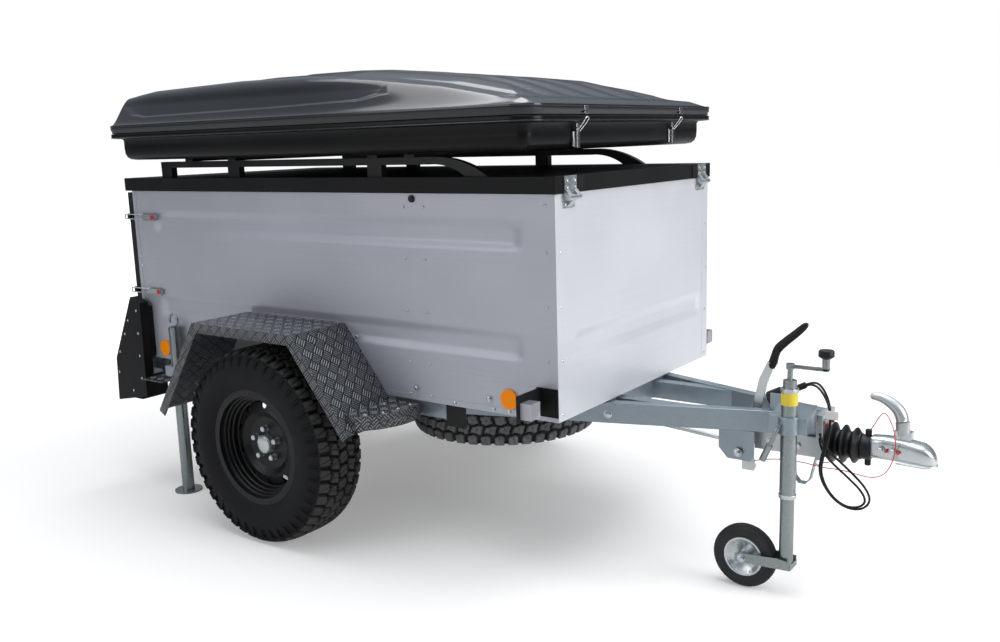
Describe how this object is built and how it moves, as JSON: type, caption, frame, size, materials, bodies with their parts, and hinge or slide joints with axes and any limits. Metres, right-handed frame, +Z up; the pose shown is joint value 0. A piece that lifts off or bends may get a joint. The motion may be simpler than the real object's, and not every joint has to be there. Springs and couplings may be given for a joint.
{
  "type": "folding camper trailer",
  "caption": "Single-axle braked box trailer with a hinged lid, drop tailgate, jockey wheel, rear stands and a hard-shell roof tent on rails.",
  "frame": {"origin": "centre of the bounding box on the ground, without the free cables", "axes": "+X forwards to the coupling, +Y to the trailer's left, +Z up"},
  "size_m": [3.159, 1.6058, 1.656],
  "materials": {
    "floor_board": "film-faced",
    "side_paint": "satin",
    "front_paint": "satin",
    "galvanised": "matte",
    "zinc": "satin",
    "tyre_rubber": "matte",
    "wheel_black": "satin",
    "tread_plate": "satin",
    "black_plate": "matte",
    "lamp_red": "gloss",
    "lamp_clear": "gloss",
    "reflector_amber": "gloss",
    "gaiter_rubber": "satin",
    "grip_black": "matte",
    "plug_black": "matte",
    "cable_black": "satin",
    "cable_red": "gloss",
    "jockey_rubber": "matte",
    "lid_black": "satin",
    "rack_black": "satin",
    "tent_gloss": "gloss",
    "chrome_trim": "polished",
    "tailgate_black": "satin"
  },
  "bodies": {
    "trailer": {"floor_panel": "floor_board", "side_wall_left": "side_paint", "side_wall_right": "side_paint", "front_wall": "front_paint", "drawbar_rails": "galvanised", "side_rails": "galvanised", "cross_members": "galvanised", "overrun_housing": "galvanised", "drawbar_brackets": "galvanised", "jockey_clamp": "galvanised", "axle_beam": "galvanised", "swing_arms": "galvanised", "handbrake_bracket": "galvanised", "fixed_hinge_leaves": "zinc", "side_latches": "zinc", "jockey_outer_tube": "zinc", "jockey_crank": "zinc", "clamp_lever": "zinc", "coupling_head": "zinc", "coupling_handle": "zinc", "handbrake_lever": "zinc", "cable_hook": "zinc", "spare_tyre": "tyre_rubber", "spare_rim": "wheel_black", "spare_carrier": "wheel_black", "mudguard_left": "tread_plate", "mudguard_right": "tread_plate", "tread_steps": "tread_plate", "lamp_brackets": "black_plate", "tail_lamps": "lamp_red", "marker_lamps": "lamp_clear", "side_reflectors": "reflector_amber", "bellows": "gaiter_rubber", "handbrake_grip": "grip_black", "connector_plug": "plug_black", "light_cable_outer": "cable_black", "light_cable_inner": "cable_black", "breakaway_cable": "cable_red"},
    "wheel_left": {"tyre_left": "tyre_rubber", "rim_left": "wheel_black", "hub_left": "zinc"},
    "stand_left": {"rear_stand_left": "zinc"},
    "wheel_right": {"tyre_right": "tyre_rubber", "rim_right": "wheel_black", "hub_right": "zinc"},
    "stand_right": {"rear_stand_right": "zinc"},
    "jockey_screw": {"jockey_spindle": "zinc"},
    "jockey_leg": {"jockey_leg": "zinc", "jockey_fork": "zinc"},
    "jockey_wheel": {"jockey_tyre": "jockey_rubber", "jockey_rim": "zinc"},
    "lid": {"lid_panel": "lid_black", "lid_hinge_straps": "zinc", "roof_rails": "rack_black", "cross_bars": "rack_black", "tent_tray": "tent_gloss", "tent_latches": "chrome_trim"},
    "tent_lid": {"tent_shell": "tent_gloss"},
    "tailgate": {"tailgate_panel": "tailgate_black", "tailgate_hinge_leaves": "zinc"}
  },
  "joints": [
    {"name": "wheel_left_spin", "type": "hinge", "parent": "trailer", "child": "wheel_left", "pos_m": [-0.5045, 0.6945, 0.352], "axis": [0, 1, 0], "continuous": true},
    {"name": "wheel_right_spin", "type": "hinge", "parent": "trailer", "child": "wheel_right", "pos_m": [-0.5045, -0.6945, 0.352], "axis": [0, 1, 0], "continuous": true},
    {"name": "jockey_slide", "type": "slide", "parent": "trailer", "child": "jockey_screw", "axis": [0, 0, 1], "range_m": [0, 0.15]},
    {"name": "jockey_swivel", "type": "hinge", "parent": "jockey_screw", "child": "jockey_leg", "pos_m": [1.2065, -0.206, 0.2], "axis": [0, 0, 1], "continuous": true},
    {"name": "jockey_wheel_spin", "type": "hinge", "parent": "jockey_leg", "child": "jockey_wheel", "pos_m": [1.0775, -0.206, 0.1], "axis": [0, 1, 0], "continuous": true},
    {"name": "stand_left_slide", "type": "slide", "parent": "trailer", "child": "stand_left", "axis": [0, 0, 1], "range_m": [0, 0.3]},
    {"name": "stand_right_slide", "type": "slide", "parent": "trailer", "child": "stand_right", "axis": [0, 0, 1], "range_m": [0, 0.3]},
    {"name": "lid_hinge", "type": "hinge", "parent": "trailer", "child": "lid", "pos_m": [0.6355, 0, 1.22], "axis": [0, 1, 0], "range_deg": [0, 40]},
    {"name": "tent_hinge", "type": "hinge", "parent": "lid", "child": "tent_lid", "pos_m": [-1.4515, 0, 1.452], "axis": [0, -1, 0], "range_deg": [0, 40]},
    {"name": "tailgate_hinge", "type": "hinge", "parent": "trailer", "child": "tailgate", "pos_m": [-1.4735, 0, 0.544], "axis": [0, -1, 0], "range_deg": [0, 90]}
  ]
}
